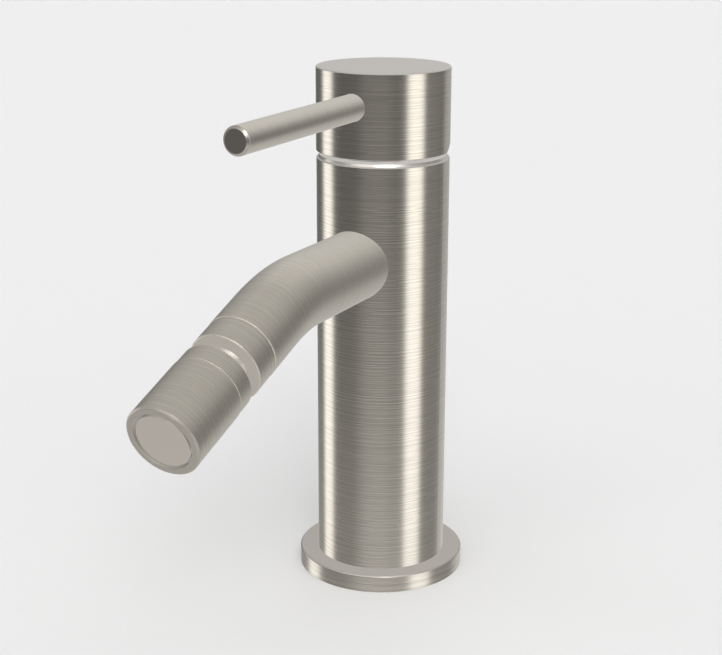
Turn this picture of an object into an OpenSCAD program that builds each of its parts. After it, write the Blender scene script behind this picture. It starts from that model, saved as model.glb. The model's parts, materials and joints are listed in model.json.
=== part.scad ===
// Single-lever bidet mixer: a plain round column on a thin flange, a round cap turned and lifted by
// a straight pin, a pipe spout bent gently down, and an outlet that swivels on a ball joint.
// Lengths are in millimetres. +Z runs up from the deck, the spout points along -Y, and the origin is
// the centre of the foot.

/* [Base flange] */
// Diameter of the base flange
flange_d = 51.5; // [49:0.5:60]
// Height of the base flange
flange_h = 5.4; // [4:0.1:8]
// Height of the inner lip that the column stands on
flange_lip_h = 1.6; // [1.2:0.1:2.4]
// Chamfer along the flange's top edge
flange_chamfer = 0.4; // [0.1:0.1:0.8]
// Mean diameter of the deck seal
deck_seal_d = 46; // [45:0.2:46.4]
// Cord diameter of the deck seal
deck_seal_cord = 1.9; // [1.5:0.1:2.4]

/* [Column] */
// Outer diameter of the column
column_d = 40; // [39.6:0.2:42]
// Height of the column's top above the deck
column_h = 131.5; // [131:0.5:160]
// Wall of the column's tube
column_wall = 3; // [2.6:0.1:3.2]
// Thickness of the ring that closes the column's top
column_top_t = 3; // [2:0.1:4]
// Chamfer along the column's top edge
column_chamfer = 0.3; // [0.1:0.1:0.6]

/* [Foot] */
// Height of the plug that closes the column's foot
plug_h = 22; // [21:0.5:30]
// Distance between the hot and cold inlets
inlet_spacing = 15; // [14.4:0.2:15.6]
// How far the inlets lie behind the column's axis
inlet_set_back = 3; // [2.6:0.2:4]
// Bore of the inlets' M10 x 1 threads
inlet_d = 8.92; // [8.5:0.02:9.2]
// Depth of the inlets' threads
inlet_depth = 14; // [10:0.5:14.5]
// Bore of the fixing stud's M8 thread
stud_d = 6.8; // [5:0.1:7.2]
// How far the fixing stud lies in front of the column's axis
stud_offset = 9; // [8:0.2:11]
// Depth of the fixing stud's thread
stud_depth = 14; // [10:0.5:18]

/* [Waterways] */
// Bore of the hot and cold waterways
passage_d = 5.2; // [4:0.1:5.4]
// Outer diameter of the copper risers
riser_d = 8; // [7:0.1:8.4]
// Wall of the copper risers
riser_wall = 0.8; // [0.6:0.1:1]
// How deep the risers sit in their sockets
riser_seat = 6; // [4:0.5:6.5]
// Height of the cartridge block
block_h = 40.5; // [40:0.5:50]
// Bore of the channel from the cartridge to the spout
channel_d = 7.2; // [5:0.1:7.4]

/* [Cartridge] */
// Outer diameter of the cartridge's housing
housing_d = 25; // [24.8:0.1:25.2]
// Wall of the housing
housing_wall = 1; // [0.8:0.05:1.1]
// Thickness of the housing's top plate
housing_top_t = 3; // [2.5:0.1:3.2]
// How far the housing's top lies under the column's top
housing_sink = 0.5; // [0.3:0.1:0.8]
// Thickness of the gasket under the cartridge
gasket_t = 1.4; // [1.2:0.05:1.5]
// Width of the gasket's rings and bars
gasket_w = 1.2; // [0.8:0.1:1.4]
// Thickness of the cartridge's base plate
base_t = 2.6; // [2.4:0.1:2.8]
// Thickness of the fixed ceramic disc
fixed_disc_t = 3.5; // [3.3:0.1:3.7]
// Thickness of the moving ceramic disc
moving_disc_t = 3; // [2.6:0.1:3.2]
// Room left beside the moving disc at the ends of its travel
disc_room = 0.2; // [0.1:0.05:0.4]
// Diameter of the mixing pocket under the moving disc
pocket_d = 8.2; // [7.8:0.1:8.4]
// Depth of the mixing pocket
pocket_depth = 1.4; // [1:0.1:2]
// Distance of the disc's inlet ports from its centre
port_radius = 5.6; // [5.5:0.05:5.8]
// Angle of each inlet port from the front
port_angle = 38; // [34:1:42]
// Diameter of the disc's inlet ports
port_d = 3.2; // [2.8:0.1:3.3]
// Diameter of the disc's outlet port
outlet_port_d = 4.6; // [4:0.1:4.8]
// Thickness of the plate that carries the moving disc
carrier_t = 2.3; // [2.3:0.1:2.6]
// Width of the carrier's guide block
guide_w = 8; // [7.6:0.1:9]
// Length of the carrier's guide block
guide_l = 7.8; // [7.6:0.1:8.4]
// Thickness of the turret's drum
drum_t = 4.4; // [4.2:0.1:4.8]
// Height of the turret's neck above the column's top
neck_rise = 5.5; // [5:0.1:5.8]
// Width of the limit ring round the neck
limit_ring_w = 1.3; // [1:0.1:1.4]
// Height of the limit ring
limit_ring_h = 1.8; // [1.4:0.1:2]
// Length of the limit ring's lug beyond the ring
limit_lug_l = 0.7; // [0.5:0.05:0.8]
// Half of the angle that the lug covers
limit_lug_angle = 10; // [8:1:14]
// Width of the stop that the lug turns against
limit_stop_w = 1; // [0.8:0.05:1.4]
// Height of the clamping nut's top above the column's top
nut_rise = 3; // [2.5:0.1:3.1]
// Height of the clamping nut's skirt round the housing
nut_skirt_h = 9; // [8:0.5:9.5]
// Wall of the clamping nut's skirt
nut_wall = 1.4; // [1.3:0.05:1.5]
// Width of the clamping nut's spanner slots
nut_slot_w = 3; // [2:0.5:4]
// Width of the key that keeps the cartridge from turning
key_w = 3; // [2:0.2:4]
// Length of the key beyond the housing
key_l = 0.9; // [0.6:0.1:1]

/* [Cover ring] */
// Wall of the bright ring in the gap under the cap
cover_ring_wall = 1.4; // [1:0.05:1.8]
// Height of the bright ring
cover_ring_h = 3.9; // [3.7:0.1:4]
// Thickness of the bright ring's top
cover_ring_t = 0.8; // [0.6:0.05:0.8]
// Chamfer along the bright ring's top edge
cover_ring_chamfer = 0.5; // [0.2:0.1:0.6]

/* [Stem] */
// Height of the stem's pivot above the column's top
pivot_rise = 1.5; // [1.3:0.1:1.6]
// Distance from the stem's pivot down to the centre of its ball
stem_arm = 8; // [7.8:0.1:8.1]
// Width of the stem's square part
stem_w = 7; // [6:0.1:7.2]
// Length of the square part below the pivot
stem_heel = 4; // [3:0.1:4.4]
// Length of the stem inside the cap
stem_grip = 9; // [7:0.5:10]
// Diameter of the stem's arm
stem_arm_d = 3.2; // [2.6:0.1:3.4]
// Diameter of the stem's ball
stem_ball_d = 5; // [4.8:0.1:5.2]
// Diameter of the pivot pin
stem_pin_d = 2.5; // [2:0.1:3]
// How far each end of the pivot pin lies inside the neck
stem_pin_inset = 0.8; // [0.5:0.1:1.2]

/* [Cap and lever] */
// Diameter of the cap
cap_d = 40.2; // [39.6:0.2:42]
// Height of the cap
cap_h = 25; // [24:0.5:30]
// Gap between the column and the cap
cap_gap = 1.9; // [1.6:0.1:2.4]
// Wall of the cap round its hollow
cap_wall = 3; // [2:0.1:3]
// Chamfer along the cap's edges
cap_chamfer = 0.25; // [0.1:0.05:0.5]
// Angle that the lever lifts through
lift_max = 25; // [20:1:26]
// How much steeper the cap's rear bevel is than the lift
bevel_spare = 2; // [1:0.5:4]
// How far behind the axis the cap's bevel starts
bevel_start = 2; // [1:0.2:2.4]
// Angle that the cap turns to each side
turn_max = 45; // [30:5:45]
// Diameter of the lever
lever_d = 8; // [7:0.1:8.2]
// Distance from the column's axis to the lever's tip
lever_reach = 82.9; // [60:0.5:110]
// Distance from the cap's top down to the lever's axis
lever_drop = 9.9; // [9:0.1:10]
// Chamfer round the lever's tip
lever_chamfer = 0.7; // [0.2:0.1:1.2]
// How deep the lever's full diameter sits in the cap
lever_seat = 7.6; // [6:0.1:8]
// Diameter of the lever's threaded end and of the grub screw
lever_thread_d = 5; // [4:0.1:5.2]
// Length of the lever's threaded end
lever_thread_l = 3.6; // [3:0.1:3.8]
// Length of the grub screw that clamps the stem
grub_l = 4.8; // [4:0.1:5]
// Width across the corners of the grub screw's socket
grub_socket_d = 2.6; // [2:0.1:3]
// Depth of the grub screw's socket
grub_socket_depth = 2.5; // [1.5:0.1:3]

/* [Spout] */
// Height of the spout's axis above the deck
spout_z = 101.7; // [98:0.1:101.8]
// Outer diameter of the spout's pipe
spout_d = 21; // [20:0.1:22]
// Wall of the spout's pipe
spout_wall = 1.7; // [1.4:0.05:1.8]
// Distance from the column's axis to the start of the bend
spout_run = 49.7; // [40:0.1:70]
// Radius of the bend along the pipe's axis
bend_r = 58; // [40:1:80]
// Angle of the bend
bend_angle = 20; // [10:0.5:35]
// Straight length of pipe after the bend
spout_end_l = 13.7; // [12:0.1:30]
// Depth of the pipe's shoulder inside the column
spout_seat = 5; // [4:0.1:5.4]
// Diameter of the spigot behind the shoulder
spigot_d = 15; // [14:0.1:15.2]
// Wall of the spigot
spigot_wall = 1.5; // [1.4:0.05:1.7]
// Length of the spigot
spigot_l = 6; // [5:0.1:6.5]
// Cord diameter of the seals on the spigot and the collar
seal_cord = 0.8; // [0.6:0.05:0.9]

/* [Ball joint] */
// Diameter of the collar that holds the ball
collar_d = 20.8; // [20:0.1:22]
// Visible length of the collar
collar_l = 8.3; // [7.6:0.1:10]
// Length of the collar's threaded skirt inside the pipe
collar_skirt_l = 7.2; // [6.8:0.1:9]
// Chamfer along the collar's front edge
collar_chamfer = 0.45; // [0.2:0.05:0.8]
// Chamfer on each side of the fine seams between turned pieces
seam_chamfer = 0.2; // [0.1:0.05:0.3]
// Diameter of the ball
ball_d = 14; // [13.6:0.1:14.2]
// Distance from the ball's centre to the collar's front face
ball_depth = 5; // [4.8:0.1:5.4]
// Diameter of the collar's throat, where it holds the ball
throat_d = 11.8; // [11.2:0.1:12]
// Room between the tilted neck and the throat's mouth
mouth_gap = 1.1; // [1:0.1:1.3]
// Length of the ball's retainer
retainer_l = 3.7; // [3:0.1:3.8]
// Wall of the ball's retainer
retainer_wall = 2; // [1.5:0.1:2.2]
// Width of the ball's seat ring
seat_w = 2.5; // [2.2:0.1:2.6]
// Length of the ball's seat ring
seat_l = 3; // [2.8:0.1:3.3]
// How far the ball is cut flat at the back, from its centre
ball_flat = 5.8; // [5.4:0.1:6.2]
// Bore through the ball and its neck
neck_bore_d = 5.2; // [4:0.1:5.6]
// Diameter of the ball's neck
ball_neck_d = 8; // [7.4:0.1:8.2]
// Angle that the outlet tilts to each side
tilt_max = 15; // [10:1:15]

/* [Outlet] */
// Gap between the collar and the outlet's shoulder
outlet_gap = 4.4; // [4.2:0.1:6]
// Diameter of the outlet's shoulder ring
shoulder_d = 20.7; // [20:0.1:21]
// Length of the outlet's shoulder ring
shoulder_l = 5.6; // [4.5:0.1:7]
// Thickness of the shoulder's back wall
shoulder_t = 2; // [1.5:0.1:3]
// Diameter of the outlet's thread inside the sleeve
outlet_thread_d = 18.4; // [18.2:0.05:18.6]
// Length of the outlet's thread
outlet_thread_l = 5.5; // [4:0.1:6.5]
// Wall of the outlet's threaded skirt
outlet_skirt_wall = 1.6; // [1.2:0.1:2]
// Diameter of the outlet's sleeve
sleeve_d = 21; // [20.6:0.1:22]
// Length of the outlet's sleeve
sleeve_l = 21; // [20:0.1:30]
// Chamfer along the sleeve's end
sleeve_chamfer = 0.5; // [0.2:0.05:0.8]
// Bore of the sleeve round the aerator
sleeve_bore_d = 17.8; // [17.6:0.05:18]
// Opening in the sleeve's end
mouth_opening_d = 17; // [16.6:0.05:17.2]
// Length of the lip round that opening
mouth_lip_l = 2; // [1.4:0.1:2.4]

/* [Aerator] */
// Thickness of the washer behind the aerator
washer_t = 1.4; // [1:0.1:1.8]
// Width of the washer
washer_w = 2.4; // [1.6:0.1:2.8]
// Thickness of the filter screen
screen_t = 0.4; // [0.3:0.05:0.6]
// Diameter of the filter screen's holes
screen_hole_d = 1.4; // [0.8:0.1:1.6]
// Rings of holes in the filter screen
screen_rings = 3; // [1:1:3]
// Wall of the flow insert
insert_wall = 0.9; // [0.7:0.05:1.1]
// Spokes of the flow insert
insert_spokes = 6; // [3:1:8]
// Thickness of each spoke
spoke_t = 1; // [0.7:0.1:1.4]
// Length of the spokes
spoke_l = 9; // [6:0.1:9.4]
// Diameter of the flow insert's hub
hub_d = 5.2; // [4.6:0.1:6]
// Diameter of the flat face in the mouth
face_d = 15.4; // [14.8:0.1:16]
// Thickness of the flat face
face_t = 1.2; // [0.8:0.1:1.5]
// How far the flat face lies inside the sleeve's end
face_inset = 0.25; // [0.1:0.05:0.6]
// Diameter of the face's post
post_d = 3; // [2.4:0.1:3.4]
// How deep the post sits in the hub
post_seat = 6; // [4:0.1:8]

/* [Fits] */
// Radial gap between screwed or brazed pieces
join_gap = 0.05; // [0.02:0.01:0.08]
// Radial gap between pieces that turn or slide on each other
running_gap = 0.08; // [0.03:0.01:0.1]
// Film of water between the ceramic discs
film_gap = 0.02; // [0.01:0.01:0.05]
// End gap of the turret and of the ball's seat ring
end_gap = 0.2; // [0.1:0.05:0.3]
// Room left round the stem and the cap at full lift
swing_gap = 0.4; // [0.3:0.05:0.5]

/* [Hidden] */
$fn = 96;

nickel = [0.72, 0.70, 0.66];
bright_nickel = [0.86, 0.85, 0.82];
brass = [0.78, 0.63, 0.35];
copper = [0.72, 0.42, 0.28];
steel = [0.62, 0.63, 0.65];
ceramic = [0.93, 0.91, 0.86];
dark_ceramic = [0.35, 0.34, 0.33];
rubber = [0.12, 0.12, 0.12];
seat_white = [0.94, 0.94, 0.92];
acetal = [0.85, 0.86, 0.84];
acetal_red = [0.75, 0.18, 0.14];

// Extra length of a cutting shape beyond the face that it cuts
cut = 1;
// Extra depth of a seal's groove over its cord
groove_gap = 0.05;
// Radial room round pieces that drop into the block and the column's top
drop_gap = join_gap * 2;
// Room round the stem's ball and over it in the carrier's socket
socket_gap = 0.1;
// Depth of the clamping nut's spanner slots
nut_slot_depth = 1.2;
// Angle left between the limit ring's lug and its stops
stop_spare = 1;
// Distance from the outlet port's edge to the gasket round it
gasket_margin = 0.3;
// Radial room round the ball in the collar's bore
ball_bore_gap = 0.2;
// Length and width of the flare at the back of the ball's bore
ball_flare_l = 2;
ball_flare_w = 0.8;
// Distance from the flow insert's hub to the flat face
hub_set_back = 0.8;
// The straight end of the pipe laps the bend by this much, and stands this much proud of it, so that
// the two surfaces never coincide
bend_lap = 0.3;
bend_step = 0.05;

column_r = column_d / 2;
core_r = column_r - column_wall - join_gap;

// Heights of the cartridge's pieces, counted down from the housing's top
housing_top_z = column_h - housing_sink;
drum_top_z = housing_top_z - housing_top_t - end_gap;
drum_z = drum_top_z - drum_t;
carrier_z = drum_z - end_gap - carrier_t;
moving_disc_z = carrier_z - moving_disc_t;
fixed_disc_z = moving_disc_z - film_gap - fixed_disc_t;
base_z = fixed_disc_z - base_t;
floor_z = base_z - gasket_t;
neck_top_z = column_h + neck_rise;
pivot_z = column_h + pivot_rise;

housing_r = housing_d / 2;
housing_bore_r = housing_r - housing_wall;
drum_r = housing_bore_r - running_gap;
neck_r = housing_bore_r - drop_gap - limit_stop_w - running_gap - limit_ring_w - join_gap;
nut_r = housing_r + drop_gap + nut_wall;
nut_top_z = column_h + nut_rise;
nut_z = housing_top_z - nut_skirt_h;
nut_bore_r = housing_bore_r;
block_top_z = column_h - column_top_t;
block_z = column_h - block_h - column_top_t;

// Travel of the moving disc while the lever lifts
ball_z = pivot_z - stem_arm;
disc_travel = stem_arm * sin(lift_max);
disc_offset = disc_travel / 2;
moving_disc_r = housing_bore_r - disc_offset - disc_room;
stem_socket_r = stem_ball_d / 2 + socket_gap;
guide_top_z = ball_z + stem_arm * (1 - cos(lift_max)) + swing_gap;

cap_r = cap_d / 2;
cap_z = column_h + cap_gap;
cap_top_z = cap_z + cap_h;
cover_ring_top_z = column_h + cover_ring_h;
cover_ring_r = nut_r + drop_gap + cover_ring_wall;
hollow_r = cap_r - cap_wall;
// The hollow's roof clears the bright ring's rear edge at full lift
hollow_top_z = pivot_z + cover_ring_r * sin(lift_max)
    + (cover_ring_top_z - pivot_z) * cos(lift_max) + swing_gap * 2;
stem_top_z = hollow_top_z + stem_grip;
lever_z = cap_top_z - lever_drop;
lever_shoulder_y = cap_r - lever_seat;

spout_r = spout_d / 2;
spout_bore_r = spout_r - spout_wall;
spout_end_bore_r = spout_bore_r - bend_step;
shoulder_y = column_r - spout_seat;
spigot_r = spigot_d / 2;
spigot_y = shoulder_y - spigot_l;
bend_end_y = spout_run + bend_r * sin(bend_angle);
bend_end_z = spout_z - bend_r * (1 - cos(bend_angle));

// Places along the outlet's axis, counted from the end of the pipe
ball_r = ball_d / 2;
collar_face = collar_l;
ball_place = collar_face - ball_depth;
collar_back = -collar_skirt_l;
collar_bore_r = ball_r + ball_bore_gap;
mouth_r = ball_neck_d / 2 / cos(tilt_max) + ball_depth * tan(tilt_max) + mouth_gap;
throat_place = ball_place + sqrt(pow(ball_r + running_gap, 2) - pow(throat_d / 2, 2));
retainer_place = collar_back + retainer_l;
seat_place = retainer_place + running_gap;
shoulder_place = collar_face + outlet_gap;
sleeve_place = shoulder_place + shoulder_l;
outlet_thread_end = sleeve_place + outlet_thread_l;
washer_end = outlet_thread_end + washer_t;
screen_end = washer_end + screen_t;
sleeve_end = sleeve_place + sleeve_l;
insert_end = sleeve_end - mouth_lip_l;
face_place = sleeve_end - face_inset - face_t;
hub_end = face_place - hub_set_back;

// A solid of revolution from radius and height pairs
module turned(profile) {
    rotate_extrude() polygon(profile);
}

module tube(outer_r, inner_r, z0, z1) {
    translate([0, 0, z0])
        linear_extrude(z1 - z0)
            difference() {
                circle(outer_r);
                circle(inner_r);
            }
}

module rod(r, z0, z1) {
    translate([0, 0, z0]) cylinder(r = r, h = z1 - z0);
}

// A round seal whose cord just fills the given outer radius
module round_seal(outer_r, cord, z) {
    translate([0, 0, z])
        rotate_extrude()
            translate([outer_r - cord / 2, 0]) circle(d = cord);
}

// A slice of ring between two angles, counted from the front
module ring_slice(outer_r, inner_r, z0, z1, from_angle, to_angle) {
    translate([0, 0, z0])
        rotate([0, 0, from_angle - 90])
            rotate_extrude(angle = to_angle - from_angle)
                translate([inner_r, 0]) square([outer_r - inner_r, z1 - z0]);
}

// Turns a shape made along +Z so that it runs forward, along -Y
module forward(z) {
    translate([0, 0, z]) rotate([90, 0, 0]) children();
}

// Places a shape made along +Z on the axis of the outlet, from the end of the pipe onward
module on_outlet() {
    translate([0, -bend_end_y, bend_end_z])
        rotate([90 + bend_angle, 0, 0])
            translate([0, 0, spout_end_l]) children();
}

module at_inlets() {
    for (side = [-1, 1])
        translate([side * inlet_spacing / 2, inlet_set_back, 0]) children();
}

module base_flange() {
    outer_r = flange_d / 2;
    seal_r = deck_seal_d / 2;
    groove_r = deck_seal_cord / 2 + groove_gap;
    color(nickel)
        difference() {
            turned([
                [core_r + join_gap, 0],
                [outer_r, 0],
                [outer_r, flange_h - flange_chamfer],
                [outer_r - flange_chamfer, flange_h],
                [column_r + join_gap, flange_h],
                [column_r + join_gap, flange_lip_h],
                [core_r + join_gap, flange_lip_h]
            ]);
            tube(seal_r + groove_r, seal_r - groove_r, -cut, deck_seal_cord + groove_gap);
        }
}

module deck_seal() {
    color(rubber)
        round_seal((deck_seal_d + deck_seal_cord) / 2, deck_seal_cord, deck_seal_cord / 2);
}

// The visible tube, closed at the top by a ring that the clamping nut passes through
module column_tube() {
    inner_r = column_r - column_wall;
    top_bore_r = nut_r + drop_gap;
    color(nickel)
        difference() {
            turned([
                [inner_r, flange_lip_h],
                [column_r, flange_lip_h],
                [column_r, column_h - column_chamfer],
                [column_r - column_chamfer, column_h],
                [top_bore_r, column_h],
                [top_bore_r, block_top_z],
                [inner_r, block_top_z]
            ]);
            forward(spout_z) rod(spout_r + join_gap, 0, column_r + cut);
        }
}

module foot_plug() {
    color(brass)
        difference() {
            rod(core_r, 0, plug_h);
            at_inlets() {
                rod(inlet_d / 2, -cut, inlet_depth);
                rod(passage_d / 2, 0, plug_h);
                rod(riser_d / 2 + join_gap, plug_h - riser_seat, plug_h + cut);
            }
            translate([0, -stud_offset, 0]) rod(stud_d / 2, -cut, stud_depth);
        }
}

module riser(side) {
    color(copper)
        translate([side * inlet_spacing / 2, inlet_set_back, 0])
            tube(riser_d / 2, riser_d / 2 - riser_wall, plug_h - riser_seat, block_z + riser_seat);
}

module hot_riser() {
    riser(-1);
}

module cold_riser() {
    riser(1);
}

module cartridge_block() {
    color(brass)
        difference() {
            rod(core_r, block_z, block_top_z);
            rod(housing_r + drop_gap, floor_z, block_top_z + cut);
            rod(nut_r + join_gap, nut_z - join_gap, block_top_z + cut);
            cartridge_key(join_gap, floor_z, nut_z);
            at_inlets() {
                rod(riser_d / 2 + join_gap, block_z - cut, block_z + riser_seat);
                rod(passage_d / 2, block_z, floor_z + cut);
            }
            rod(outlet_port_d / 2, spout_z, floor_z + cut);
            forward(spout_z) {
                rod(channel_d / 2, -outlet_port_d / 2, shoulder_y);
                rod(spigot_r + join_gap, spigot_y - join_gap, column_r);
                rod(spout_r + join_gap, shoulder_y, column_r);
            }
        }
}

// Rubber outline that keeps hot, cold and mixed water apart under the cartridge
module cartridge_gasket() {
    inner_r = outlet_port_d / 2 + gasket_w + gasket_margin;
    outer_r = housing_r - join_gap;
    color(rubber)
        translate([0, 0, floor_z])
            linear_extrude(gasket_t) {
                difference() {
                    circle(outer_r);
                    circle(outer_r - gasket_w);
                }
                difference() {
                    circle(inner_r);
                    circle(inner_r - gasket_w);
                }
                for (turn = [0, 180])
                    rotate(turn)
                        translate([-gasket_w / 2, inner_r - gasket_w / 2])
                            square([gasket_w, outer_r - inner_r]);
            }
}

module inlet_ports(z0, z1) {
    for (side = [-1, 1])
        rotate([0, 0, side * port_angle])
            translate([0, -port_radius, 0]) rod(port_d / 2, z0, z1);
}

// The key behind the base plate, and the notch that it drops into
module cartridge_key(gap, z0, z1) {
    translate([-key_w / 2 - gap, housing_r - key_l, z0])
        cube([key_w + gap * 2, key_l * 2 + gap, z1 - z0]);
}

module cartridge_base() {
    color(acetal)
        difference() {
            union() {
                rod(housing_r, base_z, fixed_disc_z);
                cartridge_key(0, base_z, fixed_disc_z);
            }
            rod(outlet_port_d / 2, base_z - cut, fixed_disc_z + cut);
            inlet_ports(base_z - cut, fixed_disc_z + cut);
        }
}

module fixed_disc() {
    color(ceramic)
        difference() {
            rod(housing_bore_r - join_gap, fixed_disc_z, moving_disc_z - film_gap);
            rod(outlet_port_d / 2, fixed_disc_z - cut, moving_disc_z + cut);
            inlet_ports(fixed_disc_z - cut, moving_disc_z + cut);
        }
}

// The pocket joins the outlet port to the inlets that the disc uncovers
module moving_disc() {
    color(dark_ceramic)
        translate([0, disc_offset, 0])
            difference() {
                rod(moving_disc_r, moving_disc_z, carrier_z);
                rod(pocket_d / 2, moving_disc_z - cut, moving_disc_z + pocket_depth);
            }
}

module disc_carrier() {
    color(acetal)
        difference() {
            union() {
                translate([0, disc_offset, 0]) rod(moving_disc_r, carrier_z, carrier_z + carrier_t);
                translate([-guide_w / 2, -guide_l / 2, carrier_z])
                    cube([guide_w, guide_l, guide_top_z - carrier_z]);
            }
            translate([-stem_socket_r, -stem_socket_r, ball_z - stem_ball_d / 2 - end_gap])
                cube([stem_socket_r * 2, stem_socket_r * 2, stem_arm]);
        }
}

module cartridge_housing() {
    stop_inner_r = neck_r + join_gap + limit_ring_w + running_gap;
    stop_angle = turn_max + limit_lug_angle + stop_spare;
    color(acetal) {
        difference() {
            rod(housing_r, fixed_disc_z, housing_top_z);
            rod(housing_bore_r, fixed_disc_z - cut, housing_top_z - housing_top_t);
            rod(neck_r + running_gap, fixed_disc_z, housing_top_z + cut);
        }
        ring_slice(nut_bore_r - drop_gap, stop_inner_r, housing_top_z, housing_top_z + limit_ring_h,
            stop_angle, 360 - stop_angle);
    }
}

// The stem's room in the turret, from upright to full lift
module stem_slot() {
    half = stem_w / 2 / cos(lift_max);
    heel_front = stem_w / 2 * cos(lift_max) + stem_heel * sin(lift_max);
    low_front = max(heel_front, disc_travel + stem_ball_d / 2) + swing_gap;
    rise = neck_top_z - pivot_z + cut;
    width = stem_w + running_gap * 2;
    translate([-width / 2, 0, 0])
        rotate([90, 0, 90])
            linear_extrude(width)
                polygon([
                    [-low_front, guide_top_z],
                    [half + swing_gap, guide_top_z],
                    [half + swing_gap, pivot_z],
                    [half + swing_gap + rise * tan(lift_max), pivot_z + rise],
                    [-half - swing_gap, pivot_z + rise],
                    [-half - swing_gap, pivot_z],
                    [-low_front, pivot_z]
                ]);
}

module cartridge_turret() {
    slot_w = guide_w + running_gap * 2;
    slot_front = disc_travel + guide_l / 2 + swing_gap;
    slot_back = guide_l / 2 + swing_gap;
    color(acetal)
        difference() {
            union() {
                rod(drum_r, drum_z, drum_top_z);
                rod(neck_r, drum_top_z, neck_top_z);
            }
            translate([-slot_w / 2, -slot_front, drum_z - cut])
                cube([slot_w, slot_front + slot_back, guide_top_z + swing_gap - drum_z + cut]);
            stem_slot();
            translate([0, 0, pivot_z]) rotate([0, 90, 0]) rod(stem_pin_d / 2, -neck_r, neck_r);
        }
}

module limit_ring() {
    inner_r = neck_r + join_gap;
    outer_r = inner_r + limit_ring_w;
    ring_z = housing_top_z + end_gap;
    color(acetal_red) {
        tube(outer_r, inner_r, ring_z, ring_z + limit_ring_h);
        ring_slice(outer_r + limit_lug_l, inner_r + limit_ring_w / 2, ring_z, ring_z + limit_ring_h,
            -limit_lug_angle, limit_lug_angle);
    }
}

module stem_pin() {
    half_l = neck_r - stem_pin_inset;
    color(steel)
        translate([0, 0, pivot_z])
            rotate([0, 90, 0]) rod(stem_pin_d / 2, -half_l, half_l);
}

module stem() {
    color(brass)
        difference() {
            union() {
                translate([0, 0, ball_z]) sphere(d = stem_ball_d);
                rod(stem_arm_d / 2, ball_z, pivot_z - stem_heel + cut);
                translate([-stem_w / 2, -stem_w / 2, pivot_z - stem_heel])
                    cube([stem_w, stem_w, stem_top_z - pivot_z + stem_heel]);
            }
            translate([0, 0, pivot_z])
                rotate([0, 90, 0]) rod(stem_pin_d / 2 + running_gap, -stem_w, stem_w);
        }
}

module cartridge_nut() {
    color(brass)
        difference() {
            rod(nut_r, nut_z, nut_top_z);
            rod(housing_r + drop_gap, nut_z - cut, housing_top_z);
            rod(nut_bore_r, nut_z, nut_top_z + cut);
            for (turn = [0, 90])
                rotate([0, 0, turn])
                    translate([-nut_r - cut, -nut_slot_w / 2, nut_top_z - nut_slot_depth])
                        cube([(nut_r + cut) * 2, nut_slot_w, nut_slot_depth + cut]);
        }
}

module cover_ring() {
    inner_r = nut_r + drop_gap;
    color(bright_nickel)
        turned([
            [inner_r, column_h],
            [cover_ring_r, column_h],
            [cover_ring_r, cover_ring_top_z - cover_ring_chamfer],
            [cover_ring_r - cover_ring_chamfer, cover_ring_top_z],
            [neck_r + swing_gap, cover_ring_top_z],
            [neck_r + swing_gap, cover_ring_top_z - cover_ring_t],
            [inner_r, cover_ring_top_z - cover_ring_t]
        ]);
}

module handle_cap() {
    socket_w = stem_w + join_gap * 2;
    color(nickel)
        difference() {
            turned([
                [0, cap_z],
                [cap_r - cap_chamfer, cap_z],
                [cap_r, cap_z + cap_chamfer],
                [cap_r, cap_top_z - cap_chamfer],
                [cap_r - cap_chamfer, cap_top_z],
                [0, cap_top_z]
            ]);
            rod(hollow_r, cap_z - cut, hollow_top_z);
            translate([-cap_d, bevel_start, cap_z])
                rotate([lift_max + bevel_spare, 0, 0])
                    translate([0, -cap_d, -cap_d]) cube([cap_d * 2, cap_d * 3, cap_d]);
            translate([-socket_w / 2, -socket_w / 2, hollow_top_z - cut])
                cube([socket_w, socket_w, stem_grip + join_gap + cut]);
            forward(lever_z) {
                rod(lever_d / 2 + join_gap, lever_shoulder_y, cap_r + cut);
                rod(lever_thread_d / 2 + join_gap, 0, cap_r);
            }
        }
}

module grub_screw() {
    tip = stem_w / 2;
    color(steel)
        forward(lever_z)
            difference() {
                rod(lever_thread_d / 2, tip, tip + grub_l);
                translate([0, 0, tip + grub_l - grub_socket_depth])
                    linear_extrude(grub_socket_depth + cut) circle(d = grub_socket_d, $fn = 6);
            }
}

module lever_pin() {
    lever_r = lever_d / 2;
    thread_r = lever_thread_d / 2;
    color(nickel)
        forward(lever_z)
            turned([
                [0, lever_shoulder_y - lever_thread_l],
                [thread_r, lever_shoulder_y - lever_thread_l],
                [thread_r, lever_shoulder_y],
                [lever_r, lever_shoulder_y],
                [lever_r, lever_reach - lever_chamfer],
                [lever_r - lever_chamfer, lever_reach],
                [0, lever_reach]
            ]);
}

module spout_pipe() {
    groove_r = spigot_r - seal_cord - groove_gap;
    groove_y = (spigot_y + shoulder_y) / 2;
    seam_r = spout_r - seam_chamfer;
    color(nickel) {
        forward(spout_z)
            turned([
                [spigot_r - spigot_wall, spigot_y],
                [spigot_r, spigot_y],
                [spigot_r, groove_y - seal_cord / 2 - groove_gap],
                [groove_r, groove_y - seal_cord / 2 - groove_gap],
                [groove_r, groove_y + seal_cord / 2 + groove_gap],
                [spigot_r, groove_y + seal_cord / 2 + groove_gap],
                [spigot_r, shoulder_y],
                [spout_r, shoulder_y],
                [spout_r, spout_run],
                [spout_bore_r, spout_run],
                [spout_bore_r, shoulder_y + spout_wall],
                [spigot_r - spigot_wall, shoulder_y + spout_wall]
            ]);
        translate([0, -spout_run, spout_z - bend_r])
            rotate([0, -90, 0])
                rotate_extrude(angle = -bend_angle)
                    translate([bend_r, 0])
                        difference() {
                            circle(spout_r - bend_step);
                            circle(spout_bore_r);
                        }
        on_outlet()
            turned([
                [spout_end_bore_r, -spout_end_l - bend_lap],
                [spout_r, -spout_end_l - bend_lap],
                [spout_r, -seam_chamfer],
                [seam_r, 0],
                [spout_end_bore_r, 0]
            ]);
    }
}

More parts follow.
